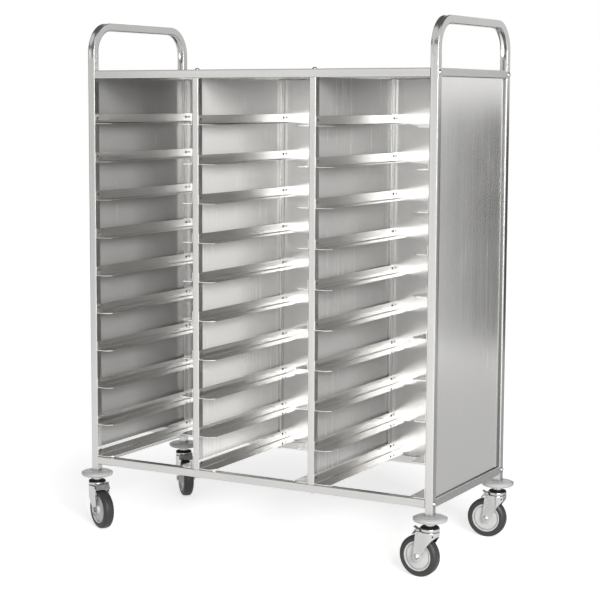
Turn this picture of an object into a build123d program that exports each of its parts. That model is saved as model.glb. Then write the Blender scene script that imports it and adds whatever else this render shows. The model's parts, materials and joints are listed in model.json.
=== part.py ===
"""Stainless tray trolley with three bays of ten tray levels.

Two end frames, each one square tube bent into two posts and a push handle, carry the rails, the top,
the back, the side panels and two dividers. Folded runners hold the trays, and four braked swivel
castors with bumper discs carry the trolley.

Millimetres. X runs along the front, -Y is the open front, Z is up and the floor is Z = 0.
"""

import os
from math import cos, radians, sin

from build123d import *

# Frame
frame_width = 1208.0  # over the posts, along X
frame_depth = 548.0  # over the posts, along Y
frame_top = 1476.0  # upper face of the top rails
frame_bottom = 208.0  # lower face of the bottom rails
handle_rise = 151.0  # push handles above the top rails
tube = 25.0  # square tube, over its flats
tube_wall = 1.5
tube_inner_corner = 1.0
bend_radius = 82.5  # handle bends, to the middle of the tube
dent_radius = 9.5  # section of the dent along the inner wall of a bend
dent_depth = 4.0

# Panels and dividers
sheet = 1.0
panel_recess = 8.0  # side and top panels behind the frame's outer faces
panel_flange = 12.0  # folded edge of the side and top panels
panel_gap = 2.0  # side panels above the bottom rails
back_recess = 2.0  # back panel ahead of the rear faces
divider_offset = 203.5  # middle of the trolley to the middle of a divider
upright_width = 22.0

# Runners
runner_sheet = 1.2
runner_height = 29.4
runner_width = 51.0
runner_bend = 3.0  # inside radius of the fold
runner_corner = 16.0  # cut across both inner corners
level_count = 10
level_pitch = 121.2
lowest_step = 103.0  # from the lowest level to the next
lowest_gap = 2.8  # lowest runners above the bottom rails
screw_drop = 11.3  # runner screws below the runner's upper edge
screw_head_radius = 4.2
screw_head_height = 2.0
screw_head_sides = 8
screw_head_taper = 20.0  # slope of the sides, in degrees

# Frame bolts
bolt_head_radius = 7.5
bolt_head_height = 5.5
bolt_radius = 4.0
bolt_clearance = 0.1
plug_length = 18.0  # threaded plugs in the ends of rails and uprights
plug_clearance = 0.2

# Castors
wheel_radius = 62.5
tread_width = 35.0
tread_rounding = 7.0
tyre_depth = 18.0
rim_width = 33.0
rim_ring = 3.6  # bright ring between tyre and groove
groove_width = 2.4
groove_depth = 7.0
hub_dish = 3.0  # hub disc behind the rim ring
hub_boss_radius = 14.0
trail = 33.0  # swivel axis to axle
axle_radius = 5.0
running_clearance = 0.05
fork_wall = 2.5
fork_half_width = 26.0
fork_head_radius = 28.5
fork_head_top = 139.5
fork_head_rounding = 3.0
fork_skirt = 9.8  # height of the skirt just ahead of the head
fork_crown_reach = 14.0  # closed top, behind the swivel axis
leg_foot = 13.0  # leg below the axle
leg_lead = 18.0  # leg ahead of the axle
leg_lag = 11.0  # leg behind the axle, at its foot
leg_top_lag = 1.0  # leg behind the axle, at its top
leg_bulge = 4.5  # bow of the leading edge
leg_flange = 4.0  # edge folded inward along the back of each leg
flange_gap = 2.0  # above the hub boss
flange_headroom = 14.0  # below the pedal pivot
foot_rounding = 12.0
skirt_hole_radius = 2.5
skirt_hole_angle = 134.0
skirt_hole_drop = 11.0
swivel_gap = 0.3  # between turning and standing faces
king_pin_radius = 6.0
king_pin_head = 9.0
king_pin_head_height = 3.0
stem_neck_radius = 9.0
race_height = 10.2
race_rounding = 2.6
seal_radius = 27.5
seal_height = 4.5
seal_rounding = 3.2
collar_radius = 14.8
collar_height = 14.0
bumper_radius = 50.5
bumper_height = 15.5
bumper_rounding = 6.5
bumper_seat = 2.0  # the post stands this deep in the bumper
fit_clearance = 0.2
axle_hex = 15.0  # axle bolt head and nut, across flats
axle_head_height = 6.5
axle_end = 2.0  # thread past the nut
pedal_side_gap = 1.0
pedal_sheet = 3.0
pedal_pivot_lag = 6.0  # pivot ahead of the axle
pedal_pivot_rise = 69.5  # pivot above the axle
pedal_pin_radius = 3.0
pedal_barrel = 6.0
pedal_race_gap = 3.5
pedal_rise = 13.0  # plate above the pivot
pedal_reach = 11.0  # plate behind the pivot, up to its fold
pedal_lip_reach = 22.0  # lip behind the pivot
pedal_lip_drop = 2.5  # foot of the lip below the pivot
pedal_fold = 4.0
tab_width = 15.0  # release tab, at one end of the pedal
tab_rise = 6.0

# Rest directions of the castors: swivel axis to axle, in degrees from +X
castor_rest = {
    "right_front": 175.0,
    "right_rear": 184.0,
    "left_front": -28.5,
    "left_rear": -45.0,
}

# Sizes that follow
handle_top = frame_top + handle_rise
tube_corner = tube_inner_corner + tube_wall
tube_bore = tube - 2 * tube_wall
post_x = frame_width / 2 - tube / 2
post_y = frame_depth / 2 - tube / 2
inner_x = frame_width / 2 - tube
inner_y = frame_depth / 2 - tube
rail_top_z = frame_top - tube / 2
rail_bottom_z = frame_bottom + tube / 2
opening_low = frame_bottom + tube
opening_high = frame_top - tube
back_face = frame_depth / 2 - back_recess - sheet
rear_upright_depth = back_face - inner_y
upright_length = opening_high - opening_low
front_upright_y = -post_y
rear_upright_y = back_face - rear_upright_depth / 2
upright_wall_x = upright_width / 2

axle_z = wheel_radius
rim_radius = wheel_radius - tyre_depth
fork_inner = fork_half_width - fork_wall
crown_low = fork_head_top - fork_wall
race_low = fork_head_top + swivel_gap
race_top = race_low + race_height
seal_top = race_top + seal_height
bumper_low = seal_top + collar_height
bumper_top = bumper_low + bumper_height
post_foot = bumper_top - bumper_seat
spigot_radius = tube_bore / 2 - fit_clearance
pedal_u = trail - pedal_pivot_lag
pedal_z = axle_z + pedal_pivot_rise
pedal_half = fork_inner - pedal_side_gap

level_low = [opening_low + lowest_gap] + [
    opening_low + lowest_gap + lowest_step + i * level_pitch for i in range(level_count - 1)
]
corners = {
    "right_front": (post_x, -post_y),
    "right_rear": (post_x, post_y),
    "left_front": (-post_x, -post_y),
    "left_rear": (-post_x, post_y),
}
ends = {"left": -1, "right": 1}
# Walls that carry runners: name, X of the wall and the way into the bay
walls = {
    "left_bay_left": (-inner_x, 1),
    "left_bay_right": (-divider_offset - upright_wall_x, -1),
    "middle_bay_left": (-divider_offset + upright_wall_x, 1),
    "middle_bay_right": (divider_offset - upright_wall_x, -1),
    "right_bay_left": (divider_offset + upright_wall_x, 1),
    "right_bay_right": (inner_x, -1),
}

os.makedirs("parts", exist_ok=True)


def save(builder, name):
    """Label a finished piece and write it out."""
    builder.part.label = name
    export_step(builder.part, f"parts/{name}.step")


def tube_profile(width, depth):
    """Hollow rectangular tube section in the sketch that is open."""
    RectangleRounded(width, depth, tube_corner)
    RectangleRounded(
        width - 2 * tube_wall, depth - 2 * tube_wall, tube_inner_corner, mode=Mode.SUBTRACT
    )


def bolt_holes(plane, places, depth):
    """Round holes for frame bolts, from a plane down through the tube under it."""
    with BuildSketch(plane) as holes:
        with Locations(*places):
            Circle(bolt_radius + bolt_clearance)
    extrude(holes.sketch, amount=-depth, mode=Mode.SUBTRACT)


# End frames: post, handle and post in one bent tube, dented along the inner wall of each bend
handle_z = handle_top - tube / 2
bend_y = post_y - bend_radius
bend_z = handle_z - bend_radius
dent_ring = bend_radius - tube / 2 + dent_depth - dent_radius


def loop_path(plane):
    """Middle line of an end frame, up one post, over the handle and down the other post."""
    with BuildLine(plane) as path:
        FilletPolyline(
            (-post_y, post_foot),
            (-post_y, handle_z),
            (post_y, handle_z),
            (post_y, post_foot),
            radius=bend_radius,
        )
    return path.line


def bend_dents(x, radius):
    """Round channels rolled into the inner walls of both bends."""
    for y in (-bend_y, bend_y):
        with Locations(Plane(origin=(x, y, bend_z), z_dir=(1, 0, 0))):
            Torus(dent_ring, radius, mode=Mode.SUBTRACT)


for side, way in ends.items():
    loop_x = way * post_x
    middle_line = loop_path(Plane.YZ.offset(loop_x))
    foot_plane = Plane(origin=(loop_x, -post_y, post_foot))
    with BuildPart() as loop_bore:
        with BuildSketch(foot_plane):
            RectangleRounded(tube_bore, tube_bore, tube_inner_corner)
        sweep(path=middle_line)
        bend_dents(loop_x, dent_radius + tube_wall)
    with BuildPart() as end_loop:
        with BuildSketch(foot_plane):
            RectangleRounded(tube, tube, tube_corner)
        sweep(path=middle_line)
        bend_dents(loop_x, dent_radius)
        add(loop_bore.part, mode=Mode.SUBTRACT)
        bolt_holes(
            Plane.YZ.offset(loop_x + tube / 2),
            [(y, z) for y in (-post_y, post_y) for z in (rail_bottom_z, rail_top_z)],
            tube,
        )
    save(end_loop, f"{side}_loop")

    for height, rail_z in {"top": rail_top_z, "bottom": rail_bottom_z}.items():
        with BuildPart() as side_rail:
            with BuildSketch(Plane(origin=(loop_x, -inner_y, rail_z), z_dir=(0, 1, 0))):
                tube_profile(tube, tube)
            extrude(amount=2 * inner_y)
        save(side_rail, f"{side}_{height}_side_rail")

# Long rails, drilled for the bolts of the dividers' uprights
for place, rail_y, bolt_y in (
    ("front", -post_y, front_upright_y),
    ("rear", post_y, rear_upright_y),
):
    for height, rail_z in {"top": rail_top_z, "bottom": rail_bottom_z}.items():
        with BuildPart() as long_rail:
            with BuildSketch(Plane(origin=(-inner_x, rail_y, rail_z), z_dir=(1, 0, 0))):
                tube_profile(tube, tube)
            extrude(amount=2 * inner_x)
            bolt_holes(
                Plane.XY.offset(rail_z + tube / 2),
                [(-divider_offset, bolt_y), (divider_offset, bolt_y)],
                tube,
            )
        save(long_rail, f"{height}_{place}_rail")

# Dividers: a front and a rear upright with a panel between them
for side, way in ends.items():
    divider_x = way * divider_offset
    for place, upright_y, depth in (
        ("front", front_upright_y, tube),
        ("rear", rear_upright_y, rear_upright_depth),
    ):
        with BuildPart() as upright:
            with BuildSketch(Plane(origin=(divider_x, upright_y, opening_low))):
                tube_profile(upright_width, depth)
            extrude(amount=upright_length)
        save(upright, f"{side}_{place}_upright")
    with BuildPart() as divider_panel:
        with BuildSketch(Plane.XY.offset(opening_low + lowest_gap)):
            with Locations((divider_x, 0)):
                Rectangle(sheet, 2 * inner_y)
        extrude(amount=upright_length - lowest_gap)
    save(divider_panel, f"{side}_divider_panel")


def folded_panel(plane, width, height):
    """Sheet panel whose four edges are folded back, away from the side that the plane faces."""
    with BuildPart() as panel:
        with BuildSketch(plane):
            Rectangle(width, height)
        extrude(amount=-panel_flange)
        inside = panel.faces().sort_by(Axis(plane.origin, plane.z_dir))[0]
        offset(amount=-sheet, openings=inside)
    return panel


# Panels
panel_height = upright_length - panel_gap
for side, way in ends.items():
    panel_plane = Plane(
        origin=(way * (frame_width / 2 - panel_recess), 0, opening_high - panel_height / 2),
        x_dir=(0, 1, 0),
        z_dir=(way, 0, 0),
    )
    save(folded_panel(panel_plane, 2 * inner_y, panel_height), f"{side}_side_panel")

save(folded_panel(Plane.XY.offset(frame_top - panel_recess), 2 * inner_x, 2 * inner_y), "top_panel")

with BuildPart() as back_panel:
    with BuildSketch(Plane.XY.offset(opening_low)):
        with Locations((0, back_face + sheet / 2)):
            Rectangle(2 * inner_x, sheet)
    extrude(amount=upright_length)
save(back_panel, "back_panel")

# Runners: folded angles, ten to a wall
runner_front = -frame_depth / 2
runner_length = back_face - runner_front


def runner(wall_x, way):
    """Folded angle against a wall, its foot at Z = 0, with both inner corners cut off."""
    with BuildPart() as angle:
        with BuildSketch(Plane(origin=(wall_x, runner_front, 0), x_dir=(1, 0, 0), z_dir=(0, -1, 0))):
            with BuildLine():
                FilletPolyline(
                    (0, runner_height),
                    (0, 0),
                    (way * runner_width, 0),
                    radius=runner_bend + runner_sheet,
                )
                offset(amount=runner_sheet, side=Side.LEFT if way > 0 else Side.RIGHT)
            make_face()
        extrude(amount=-runner_length)
        inner_edge = angle.faces().sort_by(Axis.X)[-1 if way > 0 else 0]
        chamfer(inner_edge.edges().filter_by(Axis.Z), length=runner_corner)
    return angle.part


screw_front_y = -post_y
screw_rear_y = rear_upright_y
with BuildPart() as screw_head:
    with BuildSketch(Plane.YZ):
        RegularPolygon(screw_head_radius, screw_head_sides)
    extrude(amount=screw_head_height, taper=screw_head_taper)

screw_places = []
for wall, (wall_x, way) in walls.items():
    angle = runner(wall_x, way)
    with BuildPart() as runner_set:
        with Locations(*[(0, 0, low) for low in level_low]):
            add(angle)
    save(runner_set, f"{wall}_runners")
    screw_places += [
        Location((wall_x + way * runner_sheet, y, low + runner_height - screw_drop), (0, 0, 90 - way * 90))
        for low in level_low
        for y in (screw_front_y, screw_rear_y)
    ]

with BuildPart() as runner_screws:
    with Locations(*screw_places):
        add(screw_head.part)
save(runner_screws, "runner_screws")

# Frame bolts: dome heads on the posts, through them into the rails, and on the rails into the uprights
bolt_length = tube + plug_length
with BuildPart() as frame_bolt:
    with BuildSketch(Plane.XZ):
        with BuildLine():
            Polyline(
                (0, bolt_head_height),
                (0, -bolt_length),
                (bolt_radius, -bolt_length),
                (bolt_radius, 0),
                (bolt_head_radius, 0),
            )
            TangentArc((0, bolt_head_height), (bolt_head_radius, 0), tangent=(1, 0))
        make_face()
    revolve(axis=Axis.Z)

bolt_places = [
    Location((way * frame_width / 2, y, z), (0, way * 90, 0))
    for way in ends.values()
    for y in (-post_y, post_y)
    for z in (rail_bottom_z, rail_top_z)
] + [
    Location((way * divider_offset, y, z), (turn, 0, 0))
    for way in ends.values()
    for y in (front_upright_y, rear_upright_y)
    for z, turn in ((frame_top, 0), (frame_bottom, 180))
]
with BuildPart() as frame_bolts:
    with Locations(*bolt_places):
        add(frame_bolt.part)
save(frame_bolts, "frame_bolts")


def threaded_plug(width, depth):
    """Plug for the end of a tube, its outer end at Z = 0, with the bolt's thread through it."""
    with BuildPart() as plug:
        with BuildSketch():
            RectangleRounded(
                width - 2 * tube_wall - plug_clearance,
                depth - 2 * tube_wall - plug_clearance,
                tube_inner_corner,
            )
            Circle(bolt_radius + bolt_clearance, mode=Mode.SUBTRACT)
        extrude(amount=-plug_length)
    return plug.part


with BuildPart() as rail_plugs:
    with Locations(
        *[
            Location((way * inner_x, y, z), (0, way * 90, 0))
            for way in ends.values()
            for y in (-post_y, post_y)
            for z in (rail_bottom_z, rail_top_z)
        ]
    ):
        add(threaded_plug(tube, tube))
save(rail_plugs, "rail_plugs")

with BuildPart() as upright_plugs:
    for upright_y, depth in ((front_upright_y, tube), (rear_upright_y, rear_upright_depth)):
        with Locations(
            *[
                Location((way * divider_offset, upright_y, z), (turn, 0, 0))
                for way in ends.values()
                for z, turn in ((opening_high, 0), (opening_low, 180))
            ]
        ):
            add(threaded_plug(upright_width, depth))
save(upright_plugs, "upright_plugs")

# Castor parts that stand still, one under each post
with BuildPart() as bumper:
    with BuildSketch(Plane.XZ):
        with Locations((spigot_radius + fit_clearance, bumper_low)):
            Rectangle(
                bumper_radius - spigot_radius - fit_clearance,
                bumper_height,
                align=(Align.MIN, Align.MIN),
            )
    revolve(axis=Axis.Z)
    rim_edges = bumper.edges().filter_by(GeomType.CIRCLE).group_by(SortBy.RADIUS)[-1]
    fillet(rim_edges, radius=bumper_rounding)
    with BuildSketch(Plane.XY.offset(post_foot)):
        RectangleRounded(tube + fit_clearance, tube + fit_clearance, tube_corner)
    extrude(amount=bumper_seat, mode=Mode.SUBTRACT)

with BuildPart() as stem:
    with BuildSketch(Plane.XZ):
        with BuildLine():
            Polyline(
                (0, crown_low - swivel_gap - king_pin_head_height),
                (king_pin_head, crown_low - swivel_gap - king_pin_head_height),
                (king_pin_head, crown_low - swivel_gap),
                (king_pin_radius, crown_low - swivel_gap),
                (king_pin_radius, race_low),
                (stem_neck_radius, race_low),
                (stem_neck_radius, seal_top),
                (collar_radius, seal_top),
                (collar_radius, bumper_low),
                (spigot_radius, bumper_low),
                (spigot_radius, frame_bottom),
                (0, frame_bottom),
                close=True,
            )
        make_face()
    revolve(axis=Axis.Z)


def ring(low, height, outer, rounded_edges, rounding):
    """Ring on the stem's neck, with its outer edges rounded."""
    with BuildPart() as band:
        with BuildSketch(Plane.XY.offset(low)):
            Circle(outer)
            Circle(stem_neck_radius + running_clearance, mode=Mode.SUBTRACT)
        extrude(amount=height)
        rims = band.edges().filter_by(GeomType.CIRCLE).group_by(SortBy.RADIUS)[-1]
        fillet(rims.sort_by(Axis.Z)[-rounded_edges:], radius=rounding)
    return band.part


standing_parts = {
    "corner_bumpers": bumper.part,
    "castor_stems": stem.part,
    "swivel_races": ring(race_low, race_height, fork_head_radius, 2, race_rounding),
    "stem_seals": ring(race_top, seal_height, seal_radius, 1, seal_rounding),
}
for name, piece in standing_parts.items():
    with BuildPart() as standing_set:
        with Locations(*[(x, y, 0) for x, y in corners.values()]):
            add(piece)
    save(standing_set, name)

# Castor parts that turn: fork, axle, wheel and brake pedal
lead_x = -fork_head_radius - fork_wall
lead_top_z = fork_head_top - fork_skirt
leg_low_z = axle_z - leg_foot
flange_low = axle_z + hub_boss_radius + flange_gap
flange_high = pedal_z - flange_headroom


def leg_back(height):
    """How far behind the swivel axis the slanted back edge of a leg is, at a height."""
    share = (height - leg_low_z) / (fork_head_top - leg_low_z)
    return trail + leg_lag + share * (leg_top_lag - leg_lag)


for corner, (corner_x, corner_y) in corners.items():
    heading = radians(castor_rest[corner])
    back = Vector(cos(heading), sin(heading), 0)
    across = Vector(-sin(heading), cos(heading), 0)
    swivel = Vector(corner_x, corner_y, 0)
    axle = swivel + back * trail + Vector(0, 0, axle_z)
    plan = Plane(origin=swivel, x_dir=back, z_dir=(0, 0, 1))
    side_view = Plane(origin=swivel, x_dir=back, z_dir=-across)
    cross_axle = Plane(origin=axle, x_dir=back, z_dir=across)
    wheel_section = Plane(origin=axle, x_dir=across, z_dir=back)

    with BuildPart() as fork:
        with BuildSketch(plan.offset(leg_low_z)):
            Circle(fork_head_radius)
            Rectangle(trail + leg_lag, 2 * fork_half_width, align=(Align.MIN, Align.CENTER))
        extrude(amount=fork_head_top - leg_low_z)
        fillet(fork.faces().sort_by(Axis.Z)[-1].edges(), radius=fork_head_rounding)
        with BuildSketch(plan.offset(leg_low_z)):
            Circle(fork_head_radius - fork_wall)
            Rectangle(2 * trail, 2 * (fork_inner - leg_flange), align=(Align.MIN, Align.CENTER))
        extrude(amount=crown_low - leg_low_z, mode=Mode.SUBTRACT)
        with BuildSketch(side_view):
            Polygon(
                (0, leg_low_z),
                (2 * trail, leg_low_z),
                (2 * trail, flange_low),
                (leg_back(flange_low) - fork_wall, flange_low),
                (leg_back(flange_high) - fork_wall, flange_high),
                (2 * trail, flange_high),
                (2 * trail, crown_low),
                (0, crown_low),
                align=None,
            )
        extrude(amount=fork_inner, both=True, mode=Mode.SUBTRACT)
        with BuildSketch(plan.offset(crown_low)):
            Circle(king_pin_radius + running_clearance)
            with Locations((fork_crown_reach, 0)):
                Rectangle(2 * trail, 2 * fork_inner, align=(Align.MIN, Align.CENTER))
        extrude(amount=fork_wall, mode=Mode.SUBTRACT)
        with BuildSketch(side_view):
            with BuildLine() as outline:
                Polyline(
                    (trail - leg_lead, axle_z),
                    (trail - leg_lead, leg_low_z),
                    (trail + leg_lag, leg_low_z),
                    (trail + leg_top_lag, fork_head_top),
                    (lead_x, fork_head_top),
                    (lead_x, lead_top_z),
                )
                SagittaArc((lead_x, lead_top_z), (trail - leg_lead, axle_z), leg_bulge)
            make_face()
            fillet(outline.vertices().group_by(Axis.Y)[0], radius=foot_rounding)
        extrude(amount=fork_head_radius, both=True, mode=Mode.INTERSECT)
        with BuildSketch(cross_axle):
            Circle(axle_radius + running_clearance)
            with Locations((-pedal_pivot_lag, -pedal_pivot_rise)):
                Circle(pedal_pin_radius + running_clearance)
        extrude(amount=fork_head_radius, both=True, mode=Mode.SUBTRACT)
        for turn in (-skirt_hole_angle, skirt_hole_angle):
            outward = back.rotate(Axis.Z, turn)
            hole_middle = swivel + outward * fork_head_radius
            hole_middle += Vector(0, 0, fork_head_top - skirt_hole_drop)
            with BuildSketch(Plane(origin=hole_middle, z_dir=outward)):
                Circle(skirt_hole_radius)
            extrude(amount=-2 * fork_wall, mode=Mode.SUBTRACT)
    save(fork, f"{corner}_fork")

    with BuildPart() as axle_bolt:
        with BuildSketch(cross_axle.offset(-fork_half_width)):
            RegularPolygon(axle_hex / 2, 6, major_radius=False)
        extrude(amount=-axle_head_height)
        with BuildSketch(cross_axle.offset(-fork_half_width)):
            Circle(axle_radius)
        extrude(amount=2 * fork_half_width + axle_head_height + axle_end)
    save(axle_bolt, f"{corner}_axle_bolt")

    with BuildPart() as axle_nut:
        with BuildSketch(cross_axle.offset(fork_half_width)):
            RegularPolygon(axle_hex / 2, 6, major_radius=False)
            Circle(axle_radius + running_clearance, mode=Mode.SUBTRACT)
        extrude(amount=axle_head_height)
    save(axle_nut, f"{corner}_axle_nut")

    with BuildPart() as hub:
        with BuildSketch(wheel_section):
            with BuildLine():
                Polyline(
                    (0, axle_radius + running_clearance),
                    (fork_inner - swivel_gap, axle_radius + running_clearance),
                    (fork_inner - swivel_gap, hub_boss_radius),
                    (rim_width / 2 - hub_dish, hub_boss_radius),
                    (rim_width / 2 - hub_dish, rim_radius - rim_ring - groove_width),
                    (rim_width / 2 - groove_depth, rim_radius - rim_ring - groove_width),
                    (rim_width / 2 - groove_depth, rim_radius - rim_ring),
                    (rim_width / 2, rim_radius - rim_ring),
                    (rim_width / 2, rim_radius),
                    (0, rim_radius),
                    close=True,
                )
            make_face()
            mirror(about=Plane.YZ)
        revolve(axis=Axis(axle, across))
    save(hub, f"{corner}_wheel_hub")

    with BuildPart() as tyre:
        with BuildSketch(wheel_section) as tyre_section:
            with Locations((0, rim_radius + running_clearance)):
                Rectangle(
                    tread_width, tyre_depth - running_clearance, align=(Align.CENTER, Align.MIN)
                )
            fillet(tyre_section.vertices().sort_by(Axis.Y)[-2:], radius=tread_rounding)
        revolve(axis=Axis(axle, across))
    save(tyre, f"{corner}_tyre")

    with BuildPart() as pedal:
        with BuildSketch(side_view):
            with BuildLine():
                FilletPolyline(
                    (0, pedal_z + pedal_rise),
                    (pedal_u + pedal_reach, pedal_z + pedal_rise),
                    (pedal_u + pedal_lip_reach, pedal_z - pedal_lip_drop),
                    radius=pedal_fold,
                )
                offset(amount=pedal_sheet, side=Side.RIGHT)
            make_face()
            with Locations((pedal_u, pedal_z)):
                Circle(pedal_barrel)
                Rectangle(
                    2 * pedal_barrel, pedal_rise - pedal_sheet / 2, align=(Align.CENTER, Align.MIN)
                )
        extrude(amount=pedal_half, both=True)
        with BuildSketch(plan.offset(crown_low)):
            Circle(fork_head_radius + pedal_race_gap)
        extrude(amount=2 * pedal_rise + fork_wall, mode=Mode.SUBTRACT)
        with BuildSketch(cross_axle):
            with Locations((-pedal_pivot_lag, -pedal_pivot_rise)):
                Circle(pedal_pin_radius)
        extrude(amount=fork_half_width, both=True)
        with BuildSketch(side_view.offset(-pedal_half)):
            with BuildLine():
                Polyline(
                    (pedal_u + pedal_reach - tab_rise, pedal_z + pedal_rise - pedal_sheet / 2),
                    (pedal_u + pedal_reach + tab_rise, pedal_z + pedal_rise + tab_rise),
                )
                offset(amount=pedal_sheet / 2, side=Side.LEFT)
            make_face()
        extrude(amount=tab_width)
    save(pedal, f"{corner}_brake_pedal")
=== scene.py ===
"""Looks of a stainless tray trolley: smooth tubes, castors and fasteners, steel finishes, light and camera.

Metres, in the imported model's axes: X to the right along the front, -Y to the open front, Z up.
"""

import json
import logging
from collections.abc import Iterable
from dataclasses import dataclass, field
from enum import Enum
from math import cos, radians, sin

import bmesh
import bpy
import numpy as np
from mathutils import Matrix, Vector


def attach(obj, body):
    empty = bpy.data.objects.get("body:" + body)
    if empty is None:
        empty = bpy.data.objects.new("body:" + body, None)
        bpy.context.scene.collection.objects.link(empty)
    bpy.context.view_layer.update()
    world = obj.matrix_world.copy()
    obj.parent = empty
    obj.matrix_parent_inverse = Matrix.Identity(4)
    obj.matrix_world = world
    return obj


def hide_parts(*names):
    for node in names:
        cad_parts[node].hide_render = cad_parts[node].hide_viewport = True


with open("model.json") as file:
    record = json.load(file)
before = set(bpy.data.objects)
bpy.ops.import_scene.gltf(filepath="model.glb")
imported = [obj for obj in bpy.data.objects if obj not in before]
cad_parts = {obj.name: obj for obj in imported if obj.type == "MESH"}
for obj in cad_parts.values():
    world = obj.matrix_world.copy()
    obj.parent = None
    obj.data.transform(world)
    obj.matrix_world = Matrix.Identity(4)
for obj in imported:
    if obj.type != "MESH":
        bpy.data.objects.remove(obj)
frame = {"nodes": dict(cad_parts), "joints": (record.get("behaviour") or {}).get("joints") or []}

Triple = tuple[float, float, float]
Socket = bpy.types.NodeSocket

LOG = logging.getLogger("trolley")
CORNERS = ("right_front", "right_rear", "left_front", "left_rear")
SIDES = (("left", -1), ("right", 1))
MERGE_DISTANCE = 1e-6


class Grain(Enum):
    """Direction of the grinding lines on a steel piece; RUN follows the piece's own length."""

    X = "x"
    Y = "y"
    Z = "z"
    RUN = "run"


GRAIN_AXIS = {Grain.X: 0, Grain.Y: 1, Grain.Z: 2, Grain.RUN: 0}


@dataclass
class Shell:
    """One surface: its points, its quads and a place along the piece for each point."""

    points: np.ndarray
    quads: np.ndarray
    run: np.ndarray


def grid_shell(points: np.ndarray, run: np.ndarray | None = None) -> Shell:
    """Join a grid of points into quads, the last column to the first.

    Quad (i, j) has the corners (i, j), (i, j + 1), (i + 1, j + 1) and (i + 1, j).

    Args:
        points: Rows x columns x 3 places.
        run: Places along the piece, of the same shape, or None for the points themselves.

    Returns:
        The surface.
    """
    rows, columns = points.shape[:2]
    i = np.arange(rows - 1)[:, None]
    j = np.arange(columns)[None, :]
    k = (j + 1) % columns
    corners = (i * columns + j, i * columns + k, (i + 1) * columns + k, (i + 1) * columns + j)
    quads = np.stack(np.broadcast_arrays(*corners), -1).reshape(-1, 4)
    flat = points.reshape(-1, 3)
    return Shell(flat, quads, flat if run is None else run.reshape(-1, 3))


def rounded(corners: list[Triple], closed: bool, steps: int = 7) -> np.ndarray:
    """Line through corners that are rounded by quadratic curves.

    A corner P with reach d becomes (1 - t)^2 S + 2 t (1 - t) P + t^2 E, where S and E lie d from P
    on its two legs.

    Args:
        corners: (x, y, reach) of each corner.
        closed: Whether the line comes back to its start.
        steps: Points on each corner's curve.

    Returns:
        Points x 2 places.
    """
    table = np.array(corners, float)
    middle, reach = table[:, :2], table[:, 2:]

    def toward(other: np.ndarray) -> np.ndarray:
        """Step of one reach from each corner toward another point."""
        leg = other - middle
        return leg / np.maximum(np.linalg.norm(leg, axis=1, keepdims=True), MERGE_DISTANCE) * reach

    start = middle + toward(np.roll(middle, 1, 0))
    end = middle + toward(np.roll(middle, -1, 0))
    t = np.linspace(0, 1, steps)[None, :, None]
    curve = (1 - t) ** 2 * start[:, None] + 2 * t * (1 - t) * middle[:, None] + t**2 * end[:, None]
    line = curve.reshape(-1, 2)
    return np.vstack([line, line[:1]]) if closed else line


def turned(profile: np.ndarray, origin: np.ndarray, axis: np.ndarray, steps: int = 64) -> Shell:
    """Surface of revolution about an axis.

    P(t, a) = origin + h(t) axis + r(t) (cos a u + sin a v), where u and v lie across the axis.

    Args:
        profile: Rows of (r, h).
        origin: A point on the axis.
        axis: Direction of the axis.
        steps: Points round the axis.

    Returns:
        The surface.
    """
    axis = np.asarray(axis, float)
    upright = abs(axis[2]) > 0.5
    u = np.cross(axis, (1.0, 0.0, 0.0) if upright else (0.0, 0.0, 1.0))
    u /= np.linalg.norm(u)
    v = np.cross(axis, u)
    a = np.linspace(0, 2 * np.pi, steps, endpoint=False)[:, None]
    spokes = np.cos(a) * u + np.sin(a) * v
    r, h = profile[:, 0, None, None], profile[:, 1, None, None]
    return grid_shell(np.asarray(origin, float) + h * axis + r * spokes[None])


def make_piece(
    name: str,
    shells: list[Shell],
    finish: "Finish",
    body: str,
    nodes: tuple[str, ...],
    crease: float = 35.0,
) -> bpy.types.Object:
    """Make one object of several surfaces, smooth but for its creases, on the body that carries it.

    Args:
        name: Name of the piece.
        shells: Its surfaces.
        finish: Its finish.
        body: Body that it rides on.
        nodes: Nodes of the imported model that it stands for.
        crease: Edges sharper than this angle, in degrees, stay sharp.

    Returns:
        The object.
    """
    starts = np.cumsum([0] + [len(shell.points) for shell in shells[:-1]])
    points = np.concatenate([shell.points for shell in shells])
    quads = np.concatenate([shell.quads + start for shell, start in zip(shells, starts)])
    mesh = bpy.data.meshes.new(name)
    mesh.from_pydata(points, [], quads)
    run = mesh.attributes.new("run", "FLOAT_VECTOR", "POINT")
    run.data.foreach_set("vector", np.concatenate([shell.run for shell in shells]).ravel())
    work = bmesh.new()
    work.from_mesh(mesh)
    bmesh.ops.remove_doubles(work, verts=work.verts, dist=MERGE_DISTANCE)
    bmesh.ops.dissolve_degenerate(work, edges=work.edges, dist=MERGE_DISTANCE)
    bmesh.ops.recalc_face_normals(work, faces=work.faces)
    work.to_mesh(mesh)
    work.free()
    mesh.polygons.foreach_set("use_smooth", np.ones(len(mesh.polygons), bool))
    mesh.set_sharp_from_angle(angle=radians(crease))
    mesh.materials.append(finish.material())
    piece = bpy.data.objects.new(name, mesh)
    bpy.context.scene.collection.objects.link(piece)
    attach(piece, body)
    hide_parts(*nodes)
    LOG.info("%s: %d faces, stands for %s", name, len(mesh.polygons), ", ".join(nodes))
    return piece


def dress(nodes: Iterable[str], finish: "Finish") -> None:
    """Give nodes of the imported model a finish.

    Args:
        nodes: Names of the nodes.
        finish: Their finish.
    """
    for node in nodes:
        slots = frame["nodes"][node].data.materials
        slots.clear()
        slots.append(finish.material())
        LOG.info("%s: %s", node, finish.name)


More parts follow.
